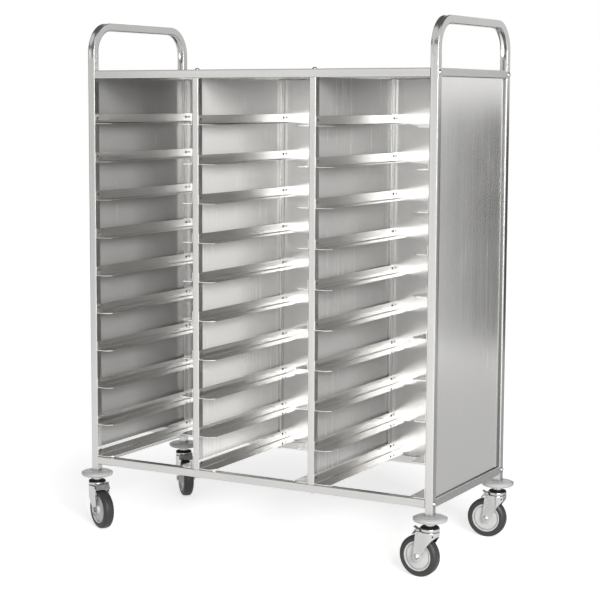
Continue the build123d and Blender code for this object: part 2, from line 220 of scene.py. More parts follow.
class NodeSheet:
    """Small helper round a node tree."""

    def __init__(self, tree: bpy.types.NodeTree) -> None:
        """Keep the tree."""
        self.tree = tree

    def add(self, kind: str, **settings: object) -> bpy.types.Node:
        """Add a node and set its own properties.

        Args:
            kind: Blender's name of the node type.
            **settings: Properties of the node.

        Returns:
            The node.
        """
        node = self.tree.nodes.new(kind)
        for key, value in settings.items():
            setattr(node, key, value)
        return node

    def link(self, source: Socket, target: Socket) -> None:
        """Join two sockets."""
        self.tree.links.new(source, target)

    def maths(self, operation: str, first: Socket | float, second: Socket | float) -> Socket:
        """Add a Math node.

        Args:
            operation: Blender's name of the operation.
            first: First value, a socket or a number.
            second: Second value, a socket or a number.

        Returns:
            The result's socket.
        """
        node = self.add("ShaderNodeMath", operation=operation)
        for target, value in zip(node.inputs, (first, second)):
            if isinstance(value, Socket):
                self.link(value, target)
            else:
                target.default_value = value
        return node.outputs[0]

    def times(self, first: Socket | float, second: Socket | float) -> Socket:
        """Product of two values."""
        return self.maths("MULTIPLY", first, second)

    def plus(self, first: Socket | float, second: Socket | float) -> Socket:
        """Sum of two values."""
        return self.maths("ADD", first, second)

    def lessened(self, mask: Socket, share: float) -> Socket:
        """One, less a share of a mask."""
        return self.maths("SUBTRACT", 1.0, self.times(mask, share))

    def swing(self, value: Socket, size: Socket | float) -> Socket:
        """A noise value about its middle, times a size."""
        return self.times(self.maths("SUBTRACT", value, 0.5), size)

    def blend(self, first: Socket, second: Socket, share: float) -> Socket:
        """The first value times a share, plus the second times the rest."""
        return self.plus(self.times(first, share), self.times(second, 1.0 - share))

    def ramp(self, value: Socket, reach: tuple[float, float], ends: tuple[float, float]) -> Socket:
        """Smooth step from one end to the other as a value crosses a reach.

        Args:
            value: The value.
            reach: Where the step starts and where it is complete.
            ends: What it gives before and after.

        Returns:
            The result's socket.
        """
        node = self.add("ShaderNodeMapRange", interpolation_type="SMOOTHSTEP")
        self.link(value, node.inputs["Value"])
        for socket, number in zip(("From Min", "From Max", "To Min", "To Max"), (*reach, *ends)):
            node.inputs[socket].default_value = number
        return node.outputs["Result"]

    def noise(self, vector: Socket, scale: float, detail: float) -> Socket:
        """Add a noise texture.

        Args:
            vector: Its coordinates.
            scale: Its scale.
            detail: Its levels of detail.

        Returns:
            The socket of its value.
        """
        node = self.add("ShaderNodeTexNoise")
        self.link(vector, node.inputs["Vector"])
        node.inputs["Scale"].default_value = scale
        node.inputs["Detail"].default_value = detail
        return node.outputs["Fac"]

    def bump(self, height: Socket, strength: float, depth: float, shader: bpy.types.Node) -> None:
        """Feed a height to the shader's normal.

        Args:
            height: The height.
            strength: How much of it shows.
            depth: How deep a height of 1 is.
            shader: The material's shader.
        """
        node = self.add("ShaderNodeBump")
        node.inputs["Strength"].default_value = strength
        node.inputs["Distance"].default_value = depth
        self.link(height, node.inputs["Height"])
        self.link(node.outputs["Normal"], shader.inputs["Normal"])


def group_tree(
    name: str, inputs: dict[str, str], outputs: dict[str, str]
) -> tuple[NodeSheet, bpy.types.Node, bpy.types.Node]:
    """Start a shader node group with named sockets.

    Args:
        name: Name of the group.
        inputs: Socket types by name.
        outputs: Socket types by name.

    Returns:
        The sheet of the group, its input node and its output node.
    """
    tree = bpy.data.node_groups.new(name, "ShaderNodeTree")
    for in_out, sockets in (("INPUT", inputs), ("OUTPUT", outputs)):
        for socket, kind in sockets.items():
            tree.interface.new_socket(socket, in_out=in_out, socket_type=kind)
    sheet = NodeSheet(tree)
    return sheet, sheet.add("NodeGroupInput"), sheet.add("NodeGroupOutput")


class Groups:
    """Node groups that several finishes share, each built once."""

    outputs = {"Shade": "NodeSocketFloat", "Gloss": "NodeSocketFloat", "Height": "NodeSocketFloat"}
    grain_name = "ground_steel_grain"
    line_scale = 900.0
    line_detail = 2.0
    band_scale = 70.0
    cloud_scale = 5.0
    line_share = 0.4
    cloud_share = 0.35
    grain_gloss = -0.25
    mottle_name = "handled_surface"
    patch_scale = 22.0
    patch_gloss = 0.3
    soft_detail = 3.0

    @classmethod
    def grain(cls) -> bpy.types.NodeTree:
        """Grinding lines, broad bands and faint clouds; lines and bands are stretched along the grain.

        Returns:
            The node group, with the outputs Shade, Gloss and Height.
        """
        if cls.grain_name in bpy.data.node_groups:
            return bpy.data.node_groups[cls.grain_name]
        inputs = {
            "Stretched": "NodeSocketVector",
            "Plain": "NodeSocketVector",
            "Contrast": "NodeSocketFloat",
        }
        sheet, given, result = group_tree(cls.grain_name, inputs, cls.outputs)
        fine = sheet.noise(given.outputs["Stretched"], cls.line_scale, cls.line_detail)
        band = sheet.noise(given.outputs["Stretched"], cls.band_scale, cls.soft_detail)
        cloud = sheet.noise(given.outputs["Plain"], cls.cloud_scale, cls.soft_detail)
        lines = sheet.blend(fine, band, cls.line_share)
        mixed = sheet.blend(cloud, lines, cls.cloud_share)
        sheet.link(sheet.plus(sheet.swing(mixed, given.outputs["Contrast"]), 1.0), result.inputs["Shade"])
        sheet.link(sheet.swing(mixed, cls.grain_gloss), result.inputs["Gloss"])
        sheet.link(lines, result.inputs["Height"])
        return sheet.tree

    @classmethod
    def mottle(cls) -> bpy.types.NodeTree:
        """Moulded and handled surfaces: a fine grain and soft patches where hands and dust have been.

        Returns:
            The node group, with the outputs Shade, Gloss and Height.
        """
        if cls.mottle_name in bpy.data.node_groups:
            return bpy.data.node_groups[cls.mottle_name]
        inputs = {"Place": "NodeSocketVector", "Size": "NodeSocketFloat", "Contrast": "NodeSocketFloat"}
        sheet, given, result = group_tree(cls.mottle_name, inputs, cls.outputs)
        fine = sheet.noise(given.outputs["Place"], 1.0, cls.soft_detail)
        sheet.link(given.outputs["Size"], fine.node.inputs["Scale"])
        patch = sheet.noise(given.outputs["Place"], cls.patch_scale, cls.soft_detail)
        sheet.link(sheet.plus(sheet.swing(patch, given.outputs["Contrast"]), 1.0), result.inputs["Shade"])
        sheet.link(sheet.swing(patch, cls.patch_gloss), result.inputs["Gloss"])
        sheet.link(fine, result.inputs["Height"])
        return sheet.tree


@dataclass(frozen=True)
class Finish:
    """What every finish has: a name, the record's slot, a colour and a roughness."""

    name: str
    slot: str
    colour: Triple
    roughness: float

    def material(self) -> bpy.types.Material:
        """The finish's material, made on first use.

        Returns:
            The material.
        """
        made = bpy.data.materials.get(self.name)
        if made is None:
            made = bpy.data.materials.new(self.name)
            made.use_nodes = True
            made.diffuse_color = (*self.colour, 1.0)
            self.paint(NodeSheet(made.node_tree), made.node_tree.nodes["Principled BSDF"])
        return made

    def paint(self, sheet: NodeSheet, shader: bpy.types.Node) -> None:
        """Fill the material's nodes; each kind of finish does this its own way."""
        raise NotImplementedError

    def tint(self, sheet: NodeSheet, shade: Socket, shader: bpy.types.Node) -> None:
        """Multiply the colour by a shade and feed it to the shader.

        Args:
            sheet: The material's nodes.
            shade: The shade, about 1.
            shader: The material's shader.
        """
        mix = sheet.add("ShaderNodeVectorMath", operation="SCALE")
        mix.inputs[0].default_value = self.colour
        sheet.link(shade, mix.inputs["Scale"])
        sheet.link(mix.outputs[0], shader.inputs["Base Color"])


@dataclass(frozen=True)
class GroundSteel(Finish):
    """Stainless steel with grinding lines along one direction.

    A sheet that names the way to its inside is matt and darker on that face alone; the darker colour is
    painted shade. A sheet with a joint is darker and rougher on its outer face where |y| rises through the
    joint's two values, to the posts; that darkening is painted shade too.
    """

    grain: Grain = Grain.Z
    contrast: float = 0.35
    stretch: float = 0.012
    relief: float = 0.02
    line_depth: float = 0.0004
    anisotropy: float = 0.6
    matt: float = 0.0
    inside: tuple[int, int, int] | None = None
    # Share of the colour kept on the inner face; the darkening is painted shade.
    inner_painted_shade: float = 1.0
    joint: tuple[float, float] | None = None
    # Share by which the outer face darkens toward the posts: painted shade.
    painted_joint_shade: float = 0.8
    joint_rough: float = 0.3
    face_limit: float = 0.5
    across_turn: float = 0.25

    def faces_along(self, sheet: NodeSheet, way: int) -> Socket:
        """Mask of the faces whose normal lies within 60 degrees of the way inside or outside.

        Args:
            sheet: The material's nodes.
            way: 1 for the inner faces, -1 for the outer ones.

        Returns:
            The mask's socket.
        """
        facing = sheet.add("ShaderNodeVectorMath", operation="DOT_PRODUCT")
        sheet.link(sheet.add("ShaderNodeNewGeometry").outputs["Normal"], facing.inputs[0])
        facing.inputs[1].default_value = [way * part for part in self.inside]
        return sheet.maths("GREATER_THAN", facing.outputs["Value"], self.face_limit)

    def near_joint(self, sheet: NodeSheet, place: Socket) -> Socket:
        """Mask of the outer face that rises from 0 to 1 where |y| nears the joints with the posts; painted
        shade darkens the face there.

        Args:
            sheet: The material's nodes.
            place: The coordinates.

        Returns:
            The mask's socket.
        """
        parts = sheet.add("ShaderNodeSeparateXYZ")
        sheet.link(place, parts.inputs["Vector"])
        away = sheet.maths("ABSOLUTE", parts.outputs["Y"], 0.0)
        return sheet.times(sheet.ramp(away, self.joint, (0.0, 1.0)), self.faces_along(sheet, -1))

    def place(self, sheet: NodeSheet) -> Socket:
        """Coordinates of the grain: along the piece's own length, or Object coordinates.

        Args:
            sheet: The material's nodes.

        Returns:
            The coordinates' socket.
        """
        if self.grain is Grain.RUN:
            return sheet.add("ShaderNodeAttribute", attribute_name="run").outputs["Vector"]
        return sheet.add("ShaderNodeTexCoord").outputs["Object"]

    def lines(self, sheet: NodeSheet, place: Socket) -> bpy.types.Node:
        """The shared grain group, on coordinates stretched along the grain.

        Args:
            sheet: The material's nodes.
            place: The coordinates.

        Returns:
            The group's node.
        """
        mapping = sheet.add("ShaderNodeMapping")
        mapping.inputs["Scale"].default_value[GRAIN_AXIS[self.grain]] = self.stretch
        sheet.link(place, mapping.inputs["Vector"])
        lines = sheet.add("ShaderNodeGroup", node_tree=Groups.grain())
        sheet.link(mapping.outputs["Vector"], lines.inputs["Stretched"])
        sheet.link(place, lines.inputs["Plain"])
        lines.inputs["Contrast"].default_value = self.contrast
        return lines

    def paint(self, sheet: NodeSheet, shader: bpy.types.Node) -> None:
        """Grinding lines in colour, gloss and relief; the gloss is drawn out across the lines.

        Args:
            sheet: The material's nodes.
            shader: The material's shader.
        """
        place = self.place(sheet)
        lines = self.lines(sheet, place)
        shade = lines.outputs["Shade"]
        rough = sheet.plus(lines.outputs["Gloss"], self.roughness)
        shader.inputs["Metallic"].default_value = 1.0 - self.matt
        # Painted shade: the inner face's colour is darkened, and that face is made matt.
        if self.inside is not None:
            inner = self.faces_along(sheet, 1)
            shade = sheet.times(shade, sheet.lessened(inner, 1.0 - self.inner_painted_shade))
            if self.matt:
                sheet.link(sheet.lessened(inner, self.matt), shader.inputs["Metallic"])
        # Painted shade toward the joints with the posts, where the face is also rougher.
        if self.joint is not None:
            near = self.near_joint(sheet, place)
            shade = sheet.times(shade, sheet.lessened(near, self.painted_joint_shade))
            rough = sheet.plus(rough, sheet.times(near, self.joint_rough))
        self.tint(sheet, shade, shader)
        sheet.link(rough, shader.inputs["Roughness"])
        sheet.bump(lines.outputs["Height"], self.relief, self.line_depth, shader)
        shader.inputs["Anisotropic"].default_value = self.anisotropy
        turn = 0.0 if self.grain is Grain.Z else self.across_turn
        shader.inputs["Anisotropic Rotation"].default_value = turn
        tangent = sheet.add("ShaderNodeTangent", direction_type="RADIAL", axis="Z")
        sheet.link(tangent.outputs["Tangent"], shader.inputs["Tangent"])


@dataclass(frozen=True)
class Handled(Finish):
    """A surface with a fine grain, and with soft patches in its colour and gloss."""

    patches: float = 0.2
    relief: float = 0.03
    grain_size: float = 400.0
    grain_depth: float = 0.0003

    def paint(self, sheet: NodeSheet, shader: bpy.types.Node) -> None:
        """Grain and patches from the shared handled-surface group.

        Args:
            sheet: The material's nodes.
            shader: The material's shader.
        """
        mottle = sheet.add("ShaderNodeGroup", node_tree=Groups.mottle())
        sheet.link(sheet.add("ShaderNodeTexCoord").outputs["Object"], mottle.inputs["Place"])
        mottle.inputs["Size"].default_value = self.grain_size
        mottle.inputs["Contrast"].default_value = self.patches
        self.tint(sheet, mottle.outputs["Shade"], shader)
        sheet.link(sheet.plus(mottle.outputs["Gloss"], self.roughness), shader.inputs["Roughness"])
        sheet.bump(mottle.outputs["Height"], self.relief, self.grain_depth, shader)


@dataclass(frozen=True)
class BrightSteel(Handled):
    """Polished or plated steel."""

    def paint(self, sheet: NodeSheet, shader: bpy.types.Node) -> None:
        """A handled surface of metal."""
        super().paint(sheet, shader)
        shader.inputs["Metallic"].default_value = 1.0


@dataclass(frozen=True)
class Moulded(Handled):
    """Moulded plastic or rubber."""

    relief: float = 0.08
    grain_size: float = 900.0
    grain_depth: float = 0.0004
    specular: float = 0.5

    def paint(self, sheet: NodeSheet, shader: bpy.types.Node) -> None:
        """A handled surface with its own level of gloss."""
        super().paint(sheet, shader)
        shader.inputs["Specular IOR Level"].default_value = self.specular


TUBE_COLOUR = (0.52, 0.515, 0.504)
SHEET_COLOUR = (0.8, 0.793, 0.778)
WALL_COLOUR = (0.84, 0.832, 0.815)
# Painted shade: a darkened copy of the wall colour, for the right divider.
PAINTED_SHADE_WALL_COLOUR = (0.5, 0.495, 0.485)
BACK_COLOUR = (0.6, 0.594, 0.583)
TOP_COLOUR = (0.62, 0.614, 0.602)
RUNNER_COLOUR = (0.86, 0.852, 0.836)
LINE_CONTRAST = 0.2
ROLLED = {"contrast": 0.06, "relief": 0.006, "anisotropy": 0.0}
# The joint band of the side sheets darkens their outer faces toward the posts: painted shade.
SIDE_GROUND = {**ROLLED, "contrast": 0.12, "joint": (0.227, 0.241)}

BENT_TUBE = GroundSteel("tube_ground_along_bends", "tube_steel", TUBE_COLOUR, 0.2, Grain.RUN, LINE_CONTRAST)
LONG_TUBE = GroundSteel("tube_ground_along_front", "tube_steel", TUBE_COLOUR, 0.22, Grain.X, LINE_CONTRAST)
SIDE_TUBE = GroundSteel("tube_ground_along_side", "tube_steel", TUBE_COLOUR, 0.22, Grain.Y, LINE_CONTRAST)
UPRIGHT_TUBE = GroundSteel("tube_ground_upright", "tube_steel", TUBE_COLOUR, 0.22, Grain.Z, LINE_CONTRAST)
WALL_SHEET = GroundSteel("sheet_rolled_upright", "panel_steel", WALL_COLOUR, 0.25, matt=0.8, **ROLLED)
BACK_SHEET = GroundSteel("sheet_rolled_bright", "panel_steel", BACK_COLOUR, 0.22, matt=0.55, **ROLLED)
# The right divider: the same rolled sheet as the left, its colour darkened as painted shade.
PAINTED_SHADE_SHEET = GroundSteel("sheet_rolled_painted_shade", "panel_steel", PAINTED_SHADE_WALL_COLOUR, 0.25, matt=0.8, **ROLLED)
SIDE_SHEETS = {
    "left": GroundSteel(
        "left_sheet_ground",
        "panel_steel",
        SHEET_COLOUR,
        0.24,
        matt=0.8,
        inside=(1, 0, 0),
        # Painted shade: the inner face keeps half its colour.
        inner_painted_shade=0.5,
        **SIDE_GROUND,
    ),
    "right": GroundSteel(
        "right_sheet_ground", "panel_steel", SHEET_COLOUR, 0.24, matt=0.6, inside=(-1, 0, 0), **SIDE_GROUND
    ),
}
TOP_SHEET = GroundSteel(
    "sheet_ground_along_front",
    "panel_steel",
    TOP_COLOUR,
    0.24,
    Grain.X,
    LINE_CONTRAST,
    inside=(0, 0, -1),
    # Painted shade: the underside is darkened to 0.3 of its colour.
    inner_painted_shade=0.3,
)
RUNNER_SHEET = GroundSteel(
    "runner_ground_lengthwise", "runner_steel", RUNNER_COLOUR, 0.1, Grain.Y, LINE_CONTRAST, anisotropy=0.0
)
SCREW_STEEL = BrightSteel("polished_fastener", "bright_steel", (0.5, 0.497, 0.488), 0.16)
DULL_SCREW = BrightSteel("dull_fastener", "bright_steel", (0.14, 0.138, 0.134), 0.3)
PLATED = BrightSteel("bright_zinc_plate", "plated_steel", (0.52, 0.52, 0.515), 0.2)
WORN_PLATED = BrightSteel("worn_zinc_plate", "pedal_steel", (0.42, 0.42, 0.415), 0.3, patches=0.5)
BUMPER_GREY = Moulded("light_grey_bumper", "bumper_plastic", (0.47, 0.472, 0.468), 0.34)
SEAL_BLACK = Moulded("black_seal", "seal_plastic", (0.01, 0.01, 0.01), 0.6, specular=0.15)
HUB_GREY = Moulded("pale_grey_hub", "hub_plastic", (0.56, 0.56, 0.55), 0.38)
TYRE_GREY = Moulded(
    "dark_grey_tyre", "tyre_rubber", (0.024,) * 3, 0.5, patches=0.4, relief=0.15, grain_size=1400.0
)


@dataclass
class EndFrame:
    """Two posts and a push handle, one square tube bent twice."""

    side: str
    way: int
    tube: float = 0.025
    squareness: float = 12.0
    corner_crowding: float = 0.2
    frame_width: float = 1.208
    frame_depth: float = 0.548
    foot: float = 0.182
    handle_top: float = 1.627
    bend: float = 0.0825
    dent_depth: float = 0.004
    dent_half_width: float = 0.0088
    dent_reach: float = 0.0238
    outer_share: float = 0.3
    wall_share: float = 0.9
    round_steps: int = 72
    bend_steps: int = 30
    lead_steps: int = 9
    crease: float = 60.0

    def section(self) -> tuple[np.ndarray, np.ndarray]:
        """Rounded square as a superellipse |a|^n + |b|^n = h^n, with more points at its corners.

        Returns:
            The places across and outward.
        """
        t = np.linspace(0, 2 * np.pi, self.round_steps, endpoint=False)
        angle = t + self.corner_crowding * np.sin(4 * t)
        n = self.squareness
        reach = self.tube / 2 / (np.abs(np.cos(angle)) ** n + np.abs(np.sin(angle)) ** n) ** (1 / n)
        return reach * np.cos(angle), reach * np.sin(angle)

    def half_line(self) -> tuple[np.ndarray, np.ndarray, np.ndarray, np.ndarray]:
        """Middle line from the front foot to the handle.

        On the bend it is C = (y0 + R cos f, z0 + R sin f), with f from pi to pi / 2. The roller that dents
        the inner wall has the radius q = R - tube / 2 + dent. It leaves the straight tube at a distance s
        past either end of the bend, where the dent is sqrt(q^2 - s^2) - (R - tube / 2).

        Returns:
            The places in Y and Z, the outward angle f and the depth of the dent.
        """
        half = self.tube / 2
        inner = self.bend - half
        lead = np.linspace(self.dent_reach, 0, self.lead_steps)[:-1]
        share = np.concatenate([0 * lead, np.linspace(0, 1, self.bend_steps), 0 * lead + 1])
        still = np.zeros(self.bend_steps)
        before = np.concatenate([lead, still, 0 * lead])
        after = np.concatenate([0 * lead, still, lead[::-1]])
        turn = np.pi * (1 - share / 2)
        y = after - (self.frame_depth / 2 - half - self.bend) + self.bend * np.cos(turn)
        z = self.handle_top - half - self.bend - before + self.bend * np.sin(turn)
        dent = np.sqrt((inner + self.dent_depth) ** 2 - before**2 - after**2) - inner
        y, z = np.insert(y, 0, y[0]), np.insert(z, 0, self.foot)
        return y, z, np.insert(turn, 0, np.pi), np.insert(np.maximum(dent, 0), 0, 0.0)

    def shell(self) -> Shell:
        """Carry the section up one post, over the handle and, mirrored, down the other post.

        A point of the section with places a across and b outward lies at C + a X + b (cos f, sin f). On the
        inner wall b grows by dent * cos^2(pi a / 2 c); on the outer wall it shrinks by a share of that.

        Returns:
            The tube's surface, its ends closed.
        """
        half = self.tube / 2
        y, z, turn, dent = self.half_line()
        y, z = np.concatenate([y, -y[::-1]]), np.concatenate([z, z[::-1]])
        turn = np.concatenate([turn, np.pi - turn[::-1]])
        dent = np.concatenate([dent, dent[::-1]])[:, None]
        across, out = self.section()
        hollow = np.cos(np.pi / 2 * np.clip(across / self.dent_half_width, -1, 1)) ** 2
        hollow = np.where(out < 0, hollow, -self.outer_share * hollow)
        on_wall = np.abs(out) > half * self.wall_share
        b = out[None] + dent * (hollow * on_wall)[None]
        x = np.broadcast_to(self.way * (self.frame_width / 2 - half) + across, b.shape)
        outward_y, outward_z = np.cos(turn)[:, None], np.sin(turn)[:, None]
        points = np.stack([x, y[:, None] + b * outward_y, z[:, None] + b * outward_z], -1)
        length = np.concatenate([[0.0], np.cumsum(np.hypot(np.diff(y), np.diff(z)))])
        run = np.stack(np.broadcast_arrays(length[:, None], across[None], out[None]), -1)
        ends = points[[0, -1]].mean(1, keepdims=True).repeat(len(across), 1)
        points = np.concatenate([ends[:1], points, ends[1:]])
        return grid_shell(points, np.concatenate([run[:1], run, run[-1:]]))

    def build(self) -> None:
        """Make the tube and dress the rails and the panel of this end."""
        name, loop = f"{self.side}_end_tube", f"{self.side}_loop"
        make_piece(name, [self.shell()], BENT_TUBE, "frame", (loop,), self.crease)
        dress((f"{self.side}_top_side_rail", f"{self.side}_bottom_side_rail"), SIDE_TUBE)
        dress((f"{self.side}_side_panel",), SIDE_SHEETS[self.side])


@dataclass
class Cabinet:
    """Long rails, dividers, panels and tray runners between the end frames."""

    heights: tuple[str, ...] = ("top", "bottom")
    places: tuple[str, ...] = ("front", "rear")
    walls: tuple[str, ...] = ("left", "right")
    bays: tuple[str, ...] = ("left_bay", "middle_bay", "right_bay")

    def build(self) -> None:
        """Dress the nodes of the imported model."""
        dress((f"{height}_{place}_rail" for height in self.heights for place in self.places), LONG_TUBE)
        dress((f"{wall}_{place}_upright" for wall in self.walls for place in self.places), UPRIGHT_TUBE)
        dress(("left_divider_panel",), WALL_SHEET)
        # The right divider's darker colour is painted shade.
        dress(("right_divider_panel",), PAINTED_SHADE_SHEET)
        dress(("back_panel",), BACK_SHEET)
        dress(("top_panel",), TOP_SHEET)
        dress((f"{bay}_{wall}_runners" for bay in self.bays for wall in self.walls), RUNNER_SHEET)
        dress(("rail_plugs", "upright_plugs"), PLATED)


@dataclass
class Fasteners:
    """Pan-head screws of the runners and dome-head bolts of the frame."""

    wall_x: tuple[tuple[float, int], ...] = (
        (-0.579, 1),
        (-0.2145, -1),
        (-0.1925, 1),
        (0.1925, -1),
        (0.2145, 1),
        (0.579, -1),
    )
    runner_sheet: float = 0.0012
    lowest: float = 0.2358
    lowest_step: float = 0.103
    pitch: float = 0.1212
    levels: int = 10
    screw_rise: float = 0.0181
    screw_y: tuple[float, float] = (-0.2615, 0.26)
    screw_radius: float = 0.0042
    screw_height: float = 0.0021
    screw_sides: int = 12
    screw_crease: float = 50.0
    head_shares: tuple[tuple[float, float], ...] = (
        (0.0, 0.55),
        (0.26, 0.55),
        (0.36, 1.0),
        (0.7, 0.9),
        (0.93, 0.6),
        (1.0, 0.25),
        (1.0, 0.0),
    )
    bolt_radius: float = 0.0075
    bolt_height: float = 0.0055
    bolt_sides: int = 32
    dome_steps: int = 14
    shank_radius: float = 0.004
    shank_length: float = 0.043
    post_x: float = 0.604
    post_y: float = 0.2615
    rail_z: tuple[float, float] = (0.2205, 1.4635)
    divider_x: float = 0.2035
    top_z: float = 1.476
    bottom_z: float = 0.208

    def screw_profile(self) -> np.ndarray:
        """Pan head with a sunk drive, from (r, h) shares of its radius and height."""
        return np.array(self.head_shares) * (self.screw_radius, self.screw_height)

    def bolt_profile(self) -> np.ndarray:
        """Dome r = R cos f, h = H sin f over its shank.

        Returns:
            Rows of (r, h) in metres.
        """
        f = np.linspace(np.pi / 2, 0, self.dome_steps)
        dome = np.stack([self.bolt_radius * np.cos(f), self.bolt_height * np.sin(f)], 1)
        dome[0, 0] = 0.0
        shank = [(self.shank_radius, 0), (self.shank_radius, -self.shank_length), (0, -self.shank_length)]
        return np.vstack([dome, shank])

    def screws(self) -> list[Shell]:
        """A screw at each end of every runner, on each of the six walls.

        Returns:
            Their surfaces.
        """
        upper = [self.lowest + self.lowest_step + i * self.pitch for i in range(self.levels - 1)]
        return [
            turned(
                self.screw_profile(),
                np.array([x + way * self.runner_sheet, y, low + self.screw_rise]),
                np.array([way, 0, 0]),
                self.screw_sides,
            )
            for x, way in self.wall_x
            for low in [self.lowest, *upper]
            for y in self.screw_y
        ]

    def bolts(self) -> list[Shell]:
        """Bolts through the posts into the long rails, and through those rails into the uprights.

        Returns:
            Their surfaces.
        """
        through_posts = [
            ((way * self.post_x, y, z), (way, 0, 0))
            for way in (-1, 1)
            for y in (-self.post_y, self.post_y)
            for z in self.rail_z
        ]
        through_rails = [
            ((way * self.divider_x, y, z), (0, 0, up))
            for way in (-1, 1)
            for y in self.screw_y
            for z, up in ((self.top_z, 1), (self.bottom_z, -1))
        ]
        return [
            turned(self.bolt_profile(), np.array(place), np.array(axis, float), self.bolt_sides)
            for place, axis in through_posts + through_rails
        ]

    def build(self) -> None:
        """Make all screws as one piece and all bolts as another."""
        make_piece(
            "pan_head_screws", self.screws(), DULL_SCREW, "frame", ("runner_screws",), self.screw_crease
        )
        make_piece("dome_head_bolts", self.bolts(), SCREW_STEEL, "frame", ("frame_bolts",))


@dataclass
class CastorTops:
    """The parts of the castors that stand still: bumper discs, stems, races and seals.

    The bumper, the race and the seal are given as radius, lower face and upper face.
    """

    middle: tuple[float, float] = (0.5915, 0.2615)
    bumper: Triple = (0.0505, 0.1685, 0.184)
    bumper_bore: float = 0.011
    bumper_lower_edge: float = 0.004
    bumper_upper_edge: float = 0.0065
    bumper_rounding: float = 0.005
    bumper_rise: float = 0.006
    race: Triple = (0.0285, 0.1398, 0.15)
    race_edges: tuple[float, float] = (0.0035, 0.0042)
    seal: Triple = (0.0275, 0.15, 0.1545)
    seal_edges: tuple[float, float] = (0.001, 0.006)
    collar_radius: float = 0.0148
    neck_radius: float = 0.009
    spigot_radius: float = 0.0108
    stem_top: float = 0.208
    stem_edge: float = 0.001
    pin_radius: float = 0.006
    pin_head_radius: float = 0.009
    pin_head: tuple[float, float] = (0.1337, 0.1367)
    stem_steps: int = 64

    def all_corners(self, profile: np.ndarray, steps: int = 96) -> list[Shell]:
        """Turn one profile under each of the four posts.

        Args:
            profile: Rows of (r, h).
            steps: Points round each axis.

        Returns:
            Four surfaces.
        """
        up = np.array([0.0, 0, 1])
        x, y = self.middle
        return [turned(profile, np.array([i * x, j * y, 0]), up, steps) for i in (-1, 1) for j in (-1, 1)]

    def bumper_profile(self) -> np.ndarray:
        """Flat disc with a full, rounded rim.

        Returns:
            Rows of (r, h), closed.
        """
        radius, low, high = self.bumper
        corners = [
            (self.bumper_bore, low, 0),
            (radius - self.bumper_lower_edge, low, self.bumper_lower_edge),
            (radius, low + self.bumper_rise, self.bumper_rounding),
            (radius, high - self.bumper_rise, self.bumper_rounding),
            (radius - self.bumper_upper_edge, high, self.bumper_rise),
            (self.bumper_bore, high, 0),
        ]
        return rounded(corners, closed=True)

    def ring_profile(self, ring: Triple, edges: tuple[float, float]) -> np.ndarray:
        """Ring round the stem's neck with rounded outer edges.

        Args:
            ring: Radius, lower face and upper face.
            edges: Reach of the lower and of the upper edge's rounding.

        Returns:
            Rows of (r, h), closed.
        """
        radius, low, high = ring
        bore = self.neck_radius
        corners = [(bore, low, 0), (radius, low, edges[0]), (radius, high, edges[1]), (bore, high, 0)]
        return rounded(corners, closed=True)

    def stem_profile(self) -> np.ndarray:
        """From the king pin's head up through race and seal, over the collar to the spigot in the post.

        Returns:
            Rows of (r, h), from axis to axis.
        """
        foot, shoulder = self.pin_head
        race_low, seal_high, bumper_low = self.race[1], self.seal[2], self.bumper[1]
        corners = [
            (0, foot, 0),
            (self.pin_head_radius, foot, self.stem_edge),
            (self.pin_head_radius, shoulder, self.stem_edge / 2),
            (self.pin_radius, shoulder, 0),
            (self.pin_radius, race_low, 0),
            (self.neck_radius, race_low, 0),
            (self.neck_radius, seal_high, 0),
            (self.collar_radius, seal_high, self.stem_edge),
            (self.collar_radius, bumper_low, self.stem_edge),
            (self.spigot_radius, bumper_low, 0),
            (self.spigot_radius, self.stem_top, self.stem_edge),
            (0, self.stem_top, 0),
        ]
        return rounded(corners, closed=False)

    def build(self) -> None:
        """Make the four kinds of standing castor parts."""
        bumpers = self.all_corners(self.bumper_profile())
        races = self.all_corners(self.ring_profile(self.race, self.race_edges))
        seals = self.all_corners(self.ring_profile(self.seal, self.seal_edges))
        stems = self.all_corners(self.stem_profile(), self.stem_steps)
        make_piece("bumper_discs", bumpers, BUMPER_GREY, "frame", ("corner_bumpers",))
        make_piece("race_rings", races, SCREW_STEEL, "frame", ("swivel_races",))
        make_piece("seal_rings", seals, SEAL_BLACK, "frame", ("stem_seals",))
        make_piece("stem_collars", stems, PLATED, "frame", ("castor_stems",))


